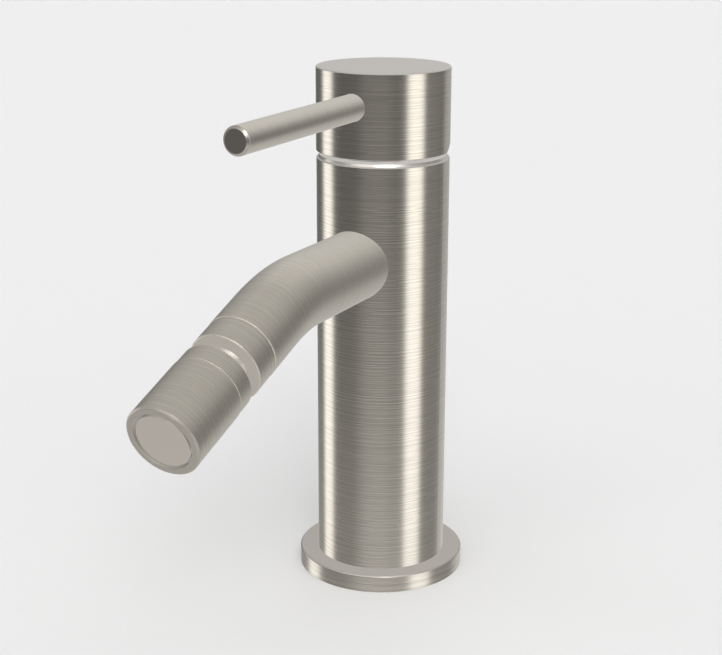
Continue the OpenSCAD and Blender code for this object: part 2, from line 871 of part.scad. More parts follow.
module spout_seal() {
    color(rubber) forward(spout_z) round_seal(spigot_r, seal_cord, (spigot_y + shoulder_y) / 2);
}

module joint_collar() {
    collar_r = collar_d / 2;
    skirt_r = spout_end_bore_r - join_gap;
    groove_place = collar_back / 2;
    groove_half = seal_cord / 2 + groove_gap;
    color(nickel)
        on_outlet()
            difference() {
                turned([
                    [0, collar_back],
                    [skirt_r, collar_back],
                    [skirt_r, groove_place - groove_half],
                    [skirt_r - seal_cord - groove_gap, groove_place - groove_half],
                    [skirt_r - seal_cord - groove_gap, groove_place + groove_half],
                    [skirt_r, groove_place + groove_half],
                    [skirt_r, 0],
                    [collar_r - seam_chamfer, 0],
                    [collar_r, seam_chamfer],
                    [collar_r, collar_face - collar_chamfer],
                    [collar_r - collar_chamfer, collar_face],
                    [0, collar_face]
                ]);
                rod(collar_bore_r, collar_back - cut, ball_place);
                translate([0, 0, ball_place]) sphere(ball_r + running_gap);
                translate([0, 0, throat_place])
                    cylinder(r1 = throat_d / 2, r2 = mouth_r, h = collar_face - throat_place);
                rod(mouth_r, collar_face, collar_face + cut);
            }
}

module collar_seal() {
    color(rubber) on_outlet() round_seal(spout_end_bore_r - join_gap, seal_cord, collar_back / 2);
}

module ball_retainer() {
    outer_r = collar_bore_r - join_gap;
    color(brass) on_outlet() tube(outer_r, outer_r - retainer_wall, collar_back, retainer_place);
}

// The ring that seals behind the ball, hollowed to the ball's own curve
module ball_seat() {
    outer_r = collar_bore_r - running_gap;
    color(seat_white)
        on_outlet()
            difference() {
                tube(outer_r, outer_r - seat_w, seat_place, seat_place + seat_l);
                translate([0, 0, ball_place]) sphere(ball_r + running_gap);
            }
}

module ball_outlet() {
    shoulder_r = shoulder_d / 2;
    thread_r = outlet_thread_d / 2;
    bore_r = neck_bore_d / 2;
    color(nickel)
        on_outlet()
            difference() {
                union() {
                    translate([0, 0, ball_place]) sphere(ball_r);
                    rod(ball_neck_d / 2, ball_place, shoulder_place + shoulder_t);
                    turned([
                        [0, shoulder_place],
                        [shoulder_r - seam_chamfer, shoulder_place],
                        [shoulder_r, shoulder_place + seam_chamfer],
                        [shoulder_r, sleeve_place - seam_chamfer],
                        [shoulder_r - seam_chamfer, sleeve_place],
                        [thread_r, sleeve_place],
                        [thread_r, outlet_thread_end],
                        [0, outlet_thread_end]
                    ]);
                }
                rod(ball_r, ball_place - ball_r * 2, ball_place - ball_flat);
                rod(bore_r, ball_place - ball_r, outlet_thread_end);
                translate([0, 0, ball_place - ball_flat])
                    cylinder(r1 = bore_r + ball_flare_w, r2 = bore_r, h = ball_flare_l);
                rod(thread_r - outlet_skirt_wall, shoulder_place + shoulder_t, outlet_thread_end + cut);
            }
}

module outlet_sleeve() {
    sleeve_r = sleeve_d / 2;
    thread_r = outlet_thread_d / 2 + join_gap;
    color(nickel)
        on_outlet()
            turned([
                [thread_r, sleeve_place],
                [sleeve_r - seam_chamfer, sleeve_place],
                [sleeve_r, sleeve_place + seam_chamfer],
                [sleeve_r, sleeve_end - sleeve_chamfer],
                [sleeve_r - sleeve_chamfer, sleeve_end],
                [mouth_opening_d / 2, sleeve_end],
                [mouth_opening_d / 2, insert_end],
                [sleeve_bore_d / 2, insert_end],
                [sleeve_bore_d / 2, outlet_thread_end],
                [thread_r, outlet_thread_end]
            ]);
}

module aerator_washer() {
    outer_r = sleeve_bore_d / 2 - join_gap;
    color(rubber) on_outlet() tube(outer_r, outer_r - washer_w, outlet_thread_end, washer_end);
}

module filter_screen() {
    outer_r = sleeve_bore_d / 2 - join_gap;
    pitch = (outer_r - washer_w + screen_hole_d / 2) / (screen_rings + 1);
    color(steel)
        on_outlet()
            translate([0, 0, washer_end])
                linear_extrude(screen_t)
                    difference() {
                        circle(outer_r);
                        circle(d = screen_hole_d);
                        for (ring = [1 : screen_rings], step = [0 : ring * 6 - 1])
                            rotate([0, 0, step * 360 / (ring * 6)])
                                translate([ring * pitch, 0]) circle(d = screen_hole_d);
                    }
}

module flow_insert() {
    outer_r = sleeve_bore_d / 2 - join_gap;
    color(acetal)
        on_outlet()
            difference() {
                union() {
                    tube(outer_r, outer_r - insert_wall, screen_end, insert_end);
                    rod(hub_d / 2, screen_end, hub_end);
                    for (step = [0 : insert_spokes - 1])
                        rotate([0, 0, step * 360 / insert_spokes])
                            translate([hub_d / 4, -spoke_t / 2, screen_end])
                                cube([outer_r - insert_wall / 2 - hub_d / 4, spoke_t, spoke_l]);
                }
                rod(post_d / 2 + join_gap, hub_end - post_seat, hub_end + cut);
            }
}

// Plain face in the mouth, with the water leaving through the slit round it
module aerator_face() {
    color(nickel)
        on_outlet() {
            rod(post_d / 2, hub_end - post_seat, face_place + face_t / 2);
            rod(face_d / 2, face_place, face_place + face_t);
        }
}

base_flange();
deck_seal();
column_tube();
foot_plug();
hot_riser();
cold_riser();
cartridge_block();
cartridge_gasket();
cartridge_base();
fixed_disc();
moving_disc();
disc_carrier();
cartridge_housing();
cartridge_turret();
limit_ring();
stem_pin();
stem();
cartridge_nut();
cover_ring();
handle_cap();
grub_screw();
lever_pin();
spout_pipe();
spout_seal();
joint_collar();
collar_seal();
ball_retainer();
ball_seat();
ball_outlet();
outlet_sleeve();
aerator_washer();
filter_screen();
flow_insert();
aerator_face();
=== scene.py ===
import json
import math

import bpy
from mathutils import Matrix, Vector

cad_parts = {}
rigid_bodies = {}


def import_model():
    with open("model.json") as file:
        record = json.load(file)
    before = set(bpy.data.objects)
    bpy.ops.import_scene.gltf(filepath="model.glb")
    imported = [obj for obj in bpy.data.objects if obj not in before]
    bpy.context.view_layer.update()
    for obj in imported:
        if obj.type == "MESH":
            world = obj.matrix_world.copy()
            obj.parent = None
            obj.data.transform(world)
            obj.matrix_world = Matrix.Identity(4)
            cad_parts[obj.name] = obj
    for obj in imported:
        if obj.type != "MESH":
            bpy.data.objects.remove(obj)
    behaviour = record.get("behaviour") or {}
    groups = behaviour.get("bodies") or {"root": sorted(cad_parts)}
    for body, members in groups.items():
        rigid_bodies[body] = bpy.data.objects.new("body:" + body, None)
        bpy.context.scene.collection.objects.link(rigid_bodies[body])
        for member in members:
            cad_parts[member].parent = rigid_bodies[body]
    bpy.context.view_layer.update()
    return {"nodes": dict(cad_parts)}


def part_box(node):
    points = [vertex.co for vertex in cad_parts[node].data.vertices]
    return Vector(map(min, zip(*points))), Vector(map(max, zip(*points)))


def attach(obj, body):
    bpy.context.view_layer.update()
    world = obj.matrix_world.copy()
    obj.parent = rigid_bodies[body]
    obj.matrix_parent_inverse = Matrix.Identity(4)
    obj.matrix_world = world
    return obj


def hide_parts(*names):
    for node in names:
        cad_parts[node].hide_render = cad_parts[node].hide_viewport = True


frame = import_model()
nodes = frame["nodes"]

# The base flange is a flat brass ring, turned on a lathe, brushed round its axis and plated with
# nickel. It covers the hole in the deck, and the column stands in its recess.
MM = 0.001
X, Y, Z = 0, 1, 2


def lowest(node, axis):
    """The lowest place of a node of the frame along an axis, in millimetres."""
    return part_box(node)[0][axis] / MM


def highest(node, axis):
    """The highest place of a node of the frame along an axis, in millimetres."""
    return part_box(node)[1][axis] / MM


def middle(node, axis):
    """The place halfway between a node's lowest and highest place along an axis."""
    return (lowest(node, axis) + highest(node, axis)) / 2


# Roundings of a turned piece's corners, from a plain edge to one that hands touch
CRISP = 0.1
EASED = 0.15
SOFT = 0.2
SMOOTH = 0.25
# A corner that turns by less is shaded smooth, and a rounded one has this many facets
SHALLOW = math.radians(25)
BENDS = 4
# Points round a turned piece, and the distance at which two points are one
AROUND = 160
SAME = 1e-6
# Depth that the brushing belt reaches, and the least share of outward facing that it catches
BELT_REACH = 0.3
OUTWARD = 0.8


def outline(corners, closed):
    """Points (r, s, normal r, normal s) of a turned outline with its corners (r, s, rounding) rounded.
    A shallow corner is shaded smooth, and a sharp one gets a point for each side."""
    points = []
    last = len(corners) - 1
    for i, corner in enumerate(corners):
        r, s, rounding = (corner + (0,))[:3]
        before = corners[i - 1] if closed or i > 0 else None
        after = corners[(i + 1) % len(corners)] if closed or i < last else None
        come = Vector((r - before[0], s - before[1])).normalized() if before else None
        go = Vector((after[0] - r, after[1] - s)).normalized() if after else come
        come = come or go
        turn = math.atan2(come.cross(go), come.dot(go))
        facing = math.atan2(-come.x, come.y)
        if abs(turn) < SHALLOW:
            points.append((r, s, math.cos(facing + turn / 2), math.sin(facing + turn / 2)))
            continue
        reach = rounding * math.tan(abs(turn) / 2)
        side = math.copysign(rounding, turn)
        centre = Vector((r, s)) - come * reach - Vector((come.y, -come.x)) * side
        bends = BENDS if rounding else 1
        for step in range(bends + 1):
            angle = facing + turn * step / bends
            normal = Vector((math.cos(angle), math.sin(angle)))
            points.append((*(centre + normal * side), *normal))
    return points


def refined(points, longest):
    """The same outline, with no stretch along the piece longer than this."""
    fine = [points[0]]
    for a, b in zip(points, points[1:]):
        parts = max(1, math.ceil(abs(b[1] - a[1]) / longest))
        fine += [tuple(p + (q - p) * k / parts for p, q in zip(a, b)) for k in range(1, parts + 1)]
    return fine


def straight(s):
    """Middle, right, up and ahead at a length s of an upright piece."""
    return Vector((0, 0, s)), Vector((1, 0, 0)), Vector((0, 1, 0)), Vector((0, 0, 1))


def around(ring, k):
    """The k-th vertex of a ring, or its only one where the ring is a point on the axis."""
    return ring[k % len(ring)]


def turned(name, corners, closed=True, path=straight, longest=None):
    """A turned piece from its outline in millimetres, with exact normals, along a path. Its grain
    attribute holds where each point would lie if the piece were straight and upright. Its worked
    attribute is 1 outside, where the brushing belt reaches, and 0 on the faces and in bores."""
    points = outline(corners, closed)
    if closed:
        points.append(points[0])
    if longest:
        points = refined(points, longest)
    outer = max(corner[0] for corner in corners)
    vertices, normals, grain, worked, faces, rings = [], [], [], [], [], []
    for r, s, normal_r, normal_s in points:
        centre, side, up, ahead = path(s)
        rings.append([])
        for k in range(AROUND if r > 0 else 1):
            angle = 2 * math.pi * k / AROUND
            out = side * math.cos(angle) + up * math.sin(angle) if r > 0 else Vector()
            rings[-1].append(len(vertices))
            vertices.append((centre + out * r) * MM)
            normals.append((out * normal_r + ahead * normal_s).normalized())
            grain.append(Vector((r * math.cos(angle), r * math.sin(angle), s)) * MM)
            worked.append(1.0 if abs(normal_r) >= OUTWARD and r > outer - BELT_REACH else 0.0)
    for (near, far), (a, b) in zip(zip(rings, rings[1:]), zip(points, points[1:])):
        if math.dist(a[:2], b[:2]) < SAME:
            continue
        for k in range(AROUND):
            corner = [around(near, k), around(near, k + 1), around(far, k + 1), around(far, k)]
            faces.append(list(dict.fromkeys(corner)))
    mesh = bpy.data.meshes.new(name)
    mesh.from_pydata(vertices, [], faces)
    mesh.shade_smooth()
    mesh.normals_split_custom_set_from_vertices(normals)
    mesh.attributes.new("grain", "FLOAT_VECTOR", "POINT").data.foreach_set(
        "vector", [value for point in grain for value in point])
    mesh.attributes.new("worked", "FLOAT", "POINT").data.foreach_set("value", worked)
    piece = bpy.data.objects.new(name, mesh)
    bpy.context.scene.collection.objects.link(piece)
    return piece


class Signal:
    """One socket of a material's or the world's nodes, so that shader maths reads as sums."""

    # The usual range of a noise
    LEAST = 0.3
    MOST = 0.7

    def __init__(self, tree, socket=None):
        self.tree = tree
        self.socket = socket

    def node(self, kind, settings, sockets, output=0):
        made = self.tree.nodes.new(kind)
        for name, value in settings.items():
            setattr(made, name, value)
        for name, value in sockets.items():
            if isinstance(value, Signal):
                self.tree.links.new(value.socket, made.inputs[name])
            else:
                made.inputs[name].default_value = value
        return Signal(self.tree, made.outputs[output]) if made.outputs else None

    def math(self, operation, *values):
        return self.node("ShaderNodeMath", {"operation": operation}, dict(enumerate(values)))

    def vector(self, operation, *values, output=0):
        return self.node("ShaderNodeVectorMath", {"operation": operation}, dict(enumerate(values)), output)

    def __add__(self, other):
        return self.math("ADD", self, other)

    def __sub__(self, other):
        return self.math("SUBTRACT", self, other)

    def __rsub__(self, other):
        return self.math("SUBTRACT", other, self)

    def __mul__(self, other):
        return self.math("MULTIPLY", self, other)

    __radd__ = __add__
    __rmul__ = __mul__

    def ramp(self, low, high, start=0.0, end=1.0):
        """Rises smoothly from start to end while the signal goes from low to high."""
        if low > high:
            low, high, start, end = high, low, end, start
        return self.node("ShaderNodeMapRange", {"interpolation_type": "SMOOTHSTEP"},
                         {"Value": self, "From Min": low, "From Max": high, "To Min": start, "To Max": end})

    def spread(self, start=0.0, end=1.0):
        """Goes from start to end over the usual range of a noise."""
        return self.ramp(self.LEAST, self.MOST, start, end)

    def stretched(self, cells):
        """This place, counted in cells per metre along x, y and z."""
        return self.vector("MULTIPLY", self, cells)

    def noise(self, scale=1.0, detail=0.0):
        """Noise from 0 to 1 at this place."""
        return self.node("ShaderNodeTexNoise", {}, {"Vector": self, "Scale": scale, "Detail": detail})

    def blend(self, first, second):
        """The colour that goes from first to second with this signal. The Mix node has several
        sockets of one name, so its colour sockets are given by their numbers."""
        factor, one, other, result = 0, 6, 7, 2
        colours = {factor: self, one: first, other: second}
        return self.node("ShaderNodeMix", {"data_type": "RGBA"}, colours, result)

    def bump(self, depth, strength):
        """The normal of a surface that this height raises by up to a depth in metres."""
        return self.node("ShaderNodeBump", {}, {"Strength": strength, "Distance": depth, "Height": self})


def shaded(name, make):
    """A material whose one shader gets the sockets that make(start) returns."""
    material = bpy.data.materials.new(name)
    material.use_nodes = True
    tree = material.node_tree
    tree.nodes.clear()
    start = Signal(tree)
    shader = start.node("ShaderNodeBsdfPrincipled", {}, make(start))
    start.node("ShaderNodeOutputMaterial", {}, {"Surface": shader})
    return material


# Cells per metre of the two sets of brushed lines, and of the patches in which each set shows
LINES = (6, 6, 2500)
OTHER_LINES = (6, 6, 2900)
PATCHES = (150, 150, 500)
PATCH_EDGES = (0.36, 0.64)
NICKEL_DARK = (0.456, 0.427, 0.374, 1)
NICKEL_LIGHT = (0.562, 0.526, 0.461, 1)
LINE_DEPTH = 0.05 * MM
LINE_STRENGTH = 0.5


def brushed(place, outside, roughness, face_colour, face_roughness=0.5):
    """Sockets of nickel brushed round its axis on the outside, and finely turned elsewhere."""
    lines = place.stretched(LINES).noise()
    others = place.stretched(OTHER_LINES).noise()
    patches = place.stretched(PATCHES).noise(detail=1.0).ramp(*PATCH_EDGES)
    scratches = lines * patches + others * (1 - patches)
    return {
        "Base Color": outside.blend(face_colour, scratches.spread().blend(NICKEL_DARK, NICKEL_LIGHT)),
        "Metallic": 1.0,
        "Roughness": outside.ramp(0, 1, face_roughness, roughness),
        "Normal": (scratches * outside).bump(LINE_DEPTH, LINE_STRENGTH),
    }


def brushed_ring(**finish):
    """The same for a turned piece, from its own grain and worked attributes."""
    def sockets(start):
        place = start.node("ShaderNodeAttribute", {"attribute_name": "grain"}, {}, "Vector")
        worked = start.node("ShaderNodeAttribute", {"attribute_name": "worked"}, {}, "Fac")
        return brushed(place, worked.ramp(0, 1), **finish)
    return sockets


FLANGE_R = highest("base_flange", X)
FLANGE_H = highest("base_flange", Z)
FLANGE_CHAMFER = 0.4
FLANGE_BORE_R = 17.0
RECESS_R = 20.05
RECESS_Z = lowest("column_tube", Z)
GROOVE_INNER_R = 22.0
GROOVE_OUTER_R = 24.0
GROOVE_H = 1.95

brushed_nickel = shaded("brushed_nickel", brushed_ring(roughness=0.24, face_colour=(0.485, 0.455, 0.415, 1)))
flange = turned("flange_ring", [
    (FLANGE_BORE_R, 0, CRISP),
    (GROOVE_INNER_R, 0, CRISP), (GROOVE_INNER_R, GROOVE_H, CRISP),
    (GROOVE_OUTER_R, GROOVE_H, CRISP), (GROOVE_OUTER_R, 0, CRISP),
    (FLANGE_R, 0, EASED), (FLANGE_R, FLANGE_H - FLANGE_CHAMFER, SMOOTH),
    (FLANGE_R - FLANGE_CHAMFER, FLANGE_H, SMOOTH), (RECESS_R, FLANGE_H, CRISP),
    (RECESS_R, RECESS_Z, CRISP), (FLANGE_BORE_R, RECESS_Z, CRISP)])
flange.data.materials.append(brushed_nickel)
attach(flange, "column")
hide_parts("base_flange")

# The column is a drawn brass tube, brushed and nickel-plated, with a ring closing its top. The
# spout's pipe passes through the hole in its front.
FACING_UP = 0.75
FACING_OUT = 0.5


def brushed_upright(start):
    """Brushed nickel on an upright solid of the frame, with plain faces where it faces up or down."""
    place = start.node("ShaderNodeTexCoord", {}, {}, "Object")
    normal = start.node("ShaderNodeTexCoord", {}, {}, "Normal")
    facing = start.node("ShaderNodeSeparateXYZ", {}, {"Vector": normal}, "Z")
    outside = facing.math("ABSOLUTE", facing).ramp(FACING_UP, FACING_OUT)
    return brushed(place, outside, roughness=0.23, face_colour=(0.545, 0.520, 0.482, 1))


upright_nickel = shaded("brushed_nickel_upright", brushed_upright)
nodes["column_tube"].data.materials[0] = upright_nickel

# The foot plug, the cartridge block, the clamping nut, the stem and the ball's retainer are
# free-cutting brass, left as machined, with fine turning marks round the axis.
TURNING_MARKS = (30, 30, 1900)
STAIN_SCALE = 90.0
FINE_SHARE = 0.4
MARK_DEPTH = 0.03 * MM
MARK_STRENGTH = 0.5


def machined(dark, light):
    """Sockets of bare metal with turning marks and a faint stain."""
    def sockets(start):
        place = start.node("ShaderNodeTexCoord", {}, {}, "Object")
        marks = place.stretched(TURNING_MARKS).noise(detail=2.0)
        stain = place.noise(STAIN_SCALE, detail=3.0)
        return {
            "Base Color": (marks * FINE_SHARE + stain * (1 - FINE_SHARE)).spread().blend(dark, light),
            "Metallic": 1.0,
            "Roughness": stain.spread(start=0.24, end=0.4),
            "Normal": marks.bump(MARK_DEPTH, MARK_STRENGTH),
        }
    return sockets


bare_brass = shaded("bare_brass", machined(dark=(0.50, 0.32, 0.11, 1), light=(0.68, 0.47, 0.19, 1)))
for name in ("foot_plug", "cartridge_block", "cartridge_nut", "stem", "ball_retainer"):
    nodes[name].data.materials[0] = bare_brass

# The risers are short drawn copper tubes, brazed into the foot plug and the cartridge block. They
# carry hot and cold water up inside the column.
drawn_copper = shaded("drawn_copper", machined(dark=(0.45, 0.17, 0.09, 1), light=(0.66, 0.30, 0.18, 1)))
for name in ("hot_riser", "cold_riser"):
    nodes[name].data.materials[0] = drawn_copper

# The pivot pin, the grub screw and the filter screen are stainless steel: ground, machined and
# etched from thin sheet.
plain_steel = shaded("plain_steel", machined(dark=(0.34, 0.34, 0.35, 1), light=(0.50, 0.50, 0.52, 1)))
for name in ("stem_pin", "grub_screw", "filter_screen"):
    nodes[name].data.materials[0] = plain_steel

# The seals, the cartridge's gasket and the aerator's washer are moulded black rubber, pressed into
# their grooves. The rubber is matt with a faint bloom.
BROAD_TO_FINE = 12
SHEEN_CHANGE = 0.05
SKIN_DEPTH = 0.02 * MM
SKIN_STRENGTH = 0.3


def moulded(dark, light, roughness, speckle):
    """Sockets of a moulded or lapped piece with fine speckles and broad clouds."""
    def sockets(start):
        place = start.node("ShaderNodeTexCoord", {}, {}, "Object")
        fine = place.noise(speckle, detail=3.0)
        broad = place.noise(speckle / BROAD_TO_FINE, detail=2.0)
        return {
            "Base Color": (fine * FINE_SHARE + broad * (1 - FINE_SHARE)).spread().blend(dark, light),
            "Roughness": fine.spread(roughness - SHEEN_CHANGE, roughness + SHEEN_CHANGE),
            "Normal": fine.bump(SKIN_DEPTH, SKIN_STRENGTH),
        }
    return sockets


black_rubber = shaded("black_rubber", moulded(
    dark=(0.010, 0.010, 0.011, 1), light=(0.022, 0.022, 0.023, 1), roughness=0.7, speckle=2600))
for name in ("deck_seal", "cartridge_gasket", "spout_seal", "collar_seal", "aerator_washer"):
    nodes[name].data.materials[0] = black_rubber

# The cartridge's base, housing, turret and disc carrier, and the aerator's insert, are injection
# moulded in pale acetal, slightly waxy. The limit ring is the same plastic in red, and the ball's
# seat ring is a whiter one that slides well.
pale_acetal = shaded("pale_acetal", moulded(
    dark=(0.62, 0.63, 0.60, 1), light=(0.70, 0.71, 0.68, 1), roughness=0.45, speckle=1800))
for name in ("cartridge_base", "cartridge_housing", "cartridge_turret", "disc_carrier", "flow_insert"):
    nodes[name].data.materials[0] = pale_acetal
red_acetal = shaded("red_acetal", moulded(
    dark=(0.42, 0.022, 0.014, 1), light=(0.52, 0.032, 0.020, 1), roughness=0.42, speckle=1800))
nodes["limit_ring"].data.materials[0] = red_acetal
white_seat = shaded("white_seat", moulded(
    dark=(0.80, 0.80, 0.78, 1), light=(0.87, 0.87, 0.85, 1), roughness=0.38, speckle=2200))
nodes["ball_seat"].data.materials[0] = white_seat

# The two discs are lapped ceramic, white below and dark above, flat enough to seal against each
# other with only a film of water between them.
white_ceramic = shaded("white_ceramic", moulded(
    dark=(0.78, 0.76, 0.70, 1), light=(0.86, 0.84, 0.78, 1), roughness=0.2, speckle=3000))
nodes["fixed_disc"].data.materials[0] = white_ceramic
dark_ceramic = shaded("dark_ceramic", moulded(
    dark=(0.075, 0.072, 0.070, 1), light=(0.11, 0.106, 0.10, 1), roughness=0.2, speckle=3000))
nodes["moving_disc"].data.materials[0] = dark_ceramic

# The cover ring is turned brass, polished and plated bright. It hides the cartridge's nut, and its
# sloping brim lies on the column's end, where it shows as a bright line in the gap under the cap.
COLUMN_TOP = highest("column_tube", Z)
COVER_R = highest("cover_ring", X)
COVER_TOP = highest("cover_ring", Z)
COVER_CHAMFER = 0.5
COVER_BORE_R = 14.1
COVER_LIP_R = 9.37
COVER_LIP_H = 0.8
BRIM_R = 19.55
BRIM_TOP_R = 19.12
BRIM_H = 0.85
BRIM_EDGE = 0.05
BRIM_TOP_EDGE = 0.12
HAZE_SCALE = 260.0


def polished(start):
    """Sockets of bright nickel with a faint haze."""
    place = start.node("ShaderNodeAttribute", {"attribute_name": "grain"}, {}, "Vector")
    haze = place.noise(HAZE_SCALE, detail=3.0)
    return {
        "Base Color": haze.spread().blend((0.515, 0.485, 0.45, 1), (0.57, 0.535, 0.495, 1)),
        "Metallic": 1.0,
        "Roughness": haze.spread(start=0.2, end=0.28),
    }


bright_nickel = shaded("bright_nickel", polished)
cover = turned("cover_ring_turned", [
    (COVER_BORE_R, COLUMN_TOP, CRISP), (BRIM_R, COLUMN_TOP, BRIM_EDGE),
    (BRIM_TOP_R, COLUMN_TOP + BRIM_H, BRIM_TOP_EDGE), (COVER_R, COLUMN_TOP + BRIM_H, CRISP),
    (COVER_R, COVER_TOP - COVER_CHAMFER, SOFT), (COVER_R - COVER_CHAMFER, COVER_TOP, SOFT),
    (COVER_LIP_R, COVER_TOP, CRISP), (COVER_LIP_R, COVER_TOP - COVER_LIP_H, CRISP),
    (COVER_BORE_R, COVER_TOP - COVER_LIP_H, CRISP)])
cover.data.materials.append(bright_nickel)
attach(cover, "column")
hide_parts("cover_ring")

# The cap is turned from a brass bar, brushed round its side and plated. It sits on the cartridge's
# stem and turns and tilts with the lever.
nodes["handle_cap"].data.materials[0] = upright_nickel

# The lever is a round brass pin with a threaded end, brushed, plated and screwed into the cap's
# side. Its tip has a small bright chamfer.
LEVER_Z = middle("lever_pin", Z)
LEVER_R = highest("lever_pin", X)
LEVER_BACK = -highest("lever_pin", Y)
LEVER_TIP = -lowest("lever_pin", Y)
LEVER_THREAD_R = 2.5
LEVER_SHOULDER = 12.5
TIP_CHAMFER = 0.7

lever_nickel = shaded("lever_nickel", brushed_ring(
    roughness=0.3, face_colour=(0.45, 0.42, 0.37, 1), face_roughness=0.25))
lever = turned("lever_rod", [
    (0, LEVER_BACK), (LEVER_THREAD_R, LEVER_BACK, SOFT), (LEVER_THREAD_R, LEVER_SHOULDER, CRISP),
    (LEVER_R, LEVER_SHOULDER, SOFT), (LEVER_R, LEVER_TIP - TIP_CHAMFER, SMOOTH),
    (LEVER_R - TIP_CHAMFER, LEVER_TIP, SMOOTH), (0, LEVER_TIP)], closed=False)
lever.matrix_world = Matrix.Translation((0, 0, LEVER_Z * MM)) @ Matrix.Rotation(math.pi / 2, 4, "X")
lever.data.materials.append(lever_nickel)
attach(lever, "handle")
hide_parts("lever_pin")

# The spout is a brass pipe, bent gently down, brushed and plated. Its spigot seals in the cartridge
# block, and the collar of the ball joint screws into its end.
SPOUT_Z = middle("spout_seal", Z)
SPOUT_RUN = 49.7
BEND_R = 58.0
BEND = math.radians(20)
SPOUT_END = 13.7
SEAM = SPOUT_RUN + BEND_R * BEND + SPOUT_END
SPOUT_R = highest("spout_pipe", X)
SPOUT_BORE_R = 8.75
SPOUT_BORE_BACK = 16.7
SPOUT_SHOULDER = 15.0
END_CHAMFER = 0.2
SPIGOT_R = highest("spout_seal", X)
SPIGOT_BORE_R = 6.0
SPIGOT_BACK = -highest("spout_pipe", Y)
SPIGOT_SEAL = -middle("spout_seal", Y)
SEAL_GROOVE_DEPTH = 0.85
SEAL_GROOVE_HALF = 0.45
LONGEST_STEP = 1.5


def along_spout(s):
    """Middle, right, up and ahead at a length s of the pipe from the column's axis."""
    turn = min(max((s - SPOUT_RUN) / BEND_R, 0), BEND)
    ahead = Vector((0, -math.cos(turn), -math.sin(turn)))
    place = Vector((0, -SPOUT_RUN - BEND_R * math.sin(turn), SPOUT_Z - BEND_R * (1 - math.cos(turn))))
    place += ahead * (s - SPOUT_RUN - BEND_R * turn)
    return place, Vector((1, 0, 0)), ahead.cross(Vector((1, 0, 0))), ahead


def seal_groove(radius, s):
    """Corners of a seal's groove in a cylinder, with its middle at a length s."""
    floor = radius - SEAL_GROOVE_DEPTH
    back = s - SEAL_GROOVE_HALF
    front = s + SEAL_GROOVE_HALF
    return [(radius, back, CRISP), (floor, back, CRISP), (floor, front, CRISP), (radius, front, CRISP)]


spout_nickel = shaded("spout_nickel", brushed_ring(roughness=0.38, face_colour=(0.590, 0.550, 0.492, 1)))
pipe = turned("spout_tube", [
    (SPIGOT_BORE_R, SPIGOT_BACK, CRISP), (SPIGOT_R, SPIGOT_BACK, SOFT),
    *seal_groove(SPIGOT_R, SPIGOT_SEAL), (SPIGOT_R, SPOUT_SHOULDER, CRISP),
    (SPOUT_R, SPOUT_SHOULDER, SOFT), (SPOUT_R, SEAM - END_CHAMFER, CRISP),
    (SPOUT_R - END_CHAMFER, SEAM, CRISP), (SPOUT_BORE_R, SEAM, CRISP),
    (SPOUT_BORE_R, SPOUT_BORE_BACK, CRISP), (SPIGOT_BORE_R, SPOUT_BORE_BACK, CRISP)],
    path=along_spout, longest=LONGEST_STEP)
pipe.data.materials.append(spout_nickel)
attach(pipe, "column")
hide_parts("spout_pipe")

# The collar is turned brass, brushed and plated. Its skirt screws into the pipe, and its narrow
# throat holds the ball, which the brass retainer and the white seat press forward.
COLLAR_R = highest("joint_collar", X)
COLLAR_FRONT = 8.3
COLLAR_CHAMFER = 0.3
SKIRT_R = highest("collar_seal", X)
SKIRT_BORE_R = 7.2
SKIRT_BACK = -7.2
SKIRT_SEAL = -3.6
THROAT_R = 6.58
THROAT_BACK = 7.21
BALL_ROOM_R = 7.08
BALL_MIDDLE = 3.3
ARC_STEPS = 14


def along_outlet(s):
    """The same at a length s from the seam between the pipe and the collar."""
    return along_spout(SEAM + s)


def ball_arc(radius, start, end):
    """Points on the ball joint's sphere between two lengths along the outlet."""
    first, last = (math.acos(max(-1, min(1, (s - BALL_MIDDLE) / radius))) for s in (start, end))
    angles = [first + (last - first) * k / ARC_STEPS for k in range(ARC_STEPS + 1)]
    return [(radius * math.sin(a), BALL_MIDDLE + radius * math.cos(a)) for a in angles]


collar = turned("collar_turned", [
    (SKIRT_BORE_R, SKIRT_BACK, CRISP), (SKIRT_R, SKIRT_BACK, SOFT),
    *seal_groove(SKIRT_R, SKIRT_SEAL), (SKIRT_R, 0, CRISP),
    (COLLAR_R - END_CHAMFER, 0, CRISP), (COLLAR_R, END_CHAMFER, CRISP),
    (COLLAR_R, COLLAR_FRONT - COLLAR_CHAMFER, EASED), (COLLAR_R - COLLAR_CHAMFER, COLLAR_FRONT, EASED),
    (THROAT_R, COLLAR_FRONT, SOFT), *ball_arc(BALL_ROOM_R, THROAT_BACK, BALL_MIDDLE),
    (SKIRT_BORE_R, BALL_MIDDLE)], path=along_outlet)
collar.data.materials.append(spout_nickel)
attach(collar, "column")
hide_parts("joint_collar")

# The ball, its neck and the outlet's shoulder are one piece of turned brass, plated all over. It
# swivels and tilts in the collar, and the sleeve screws on over its thread.
BALL_R = 7.0
BALL_BORE_R = 2.6
FLARE_R = 3.4
FLARE_FRONT = -0.5
FLARE_BACK = -2.5
NECK_R = 4.0
NECK_BACK = 9.04
NECK_EDGE = 0.3
SHOULDER_R = highest("ball_outlet", X)
SHOULDER_BACK = 12.7
SHOULDER_FRONT = 18.3
THREAD_R = 9.2
THREAD_FRONT = 23.8
CUP_R = 7.6
CUP_FLOOR = 14.7

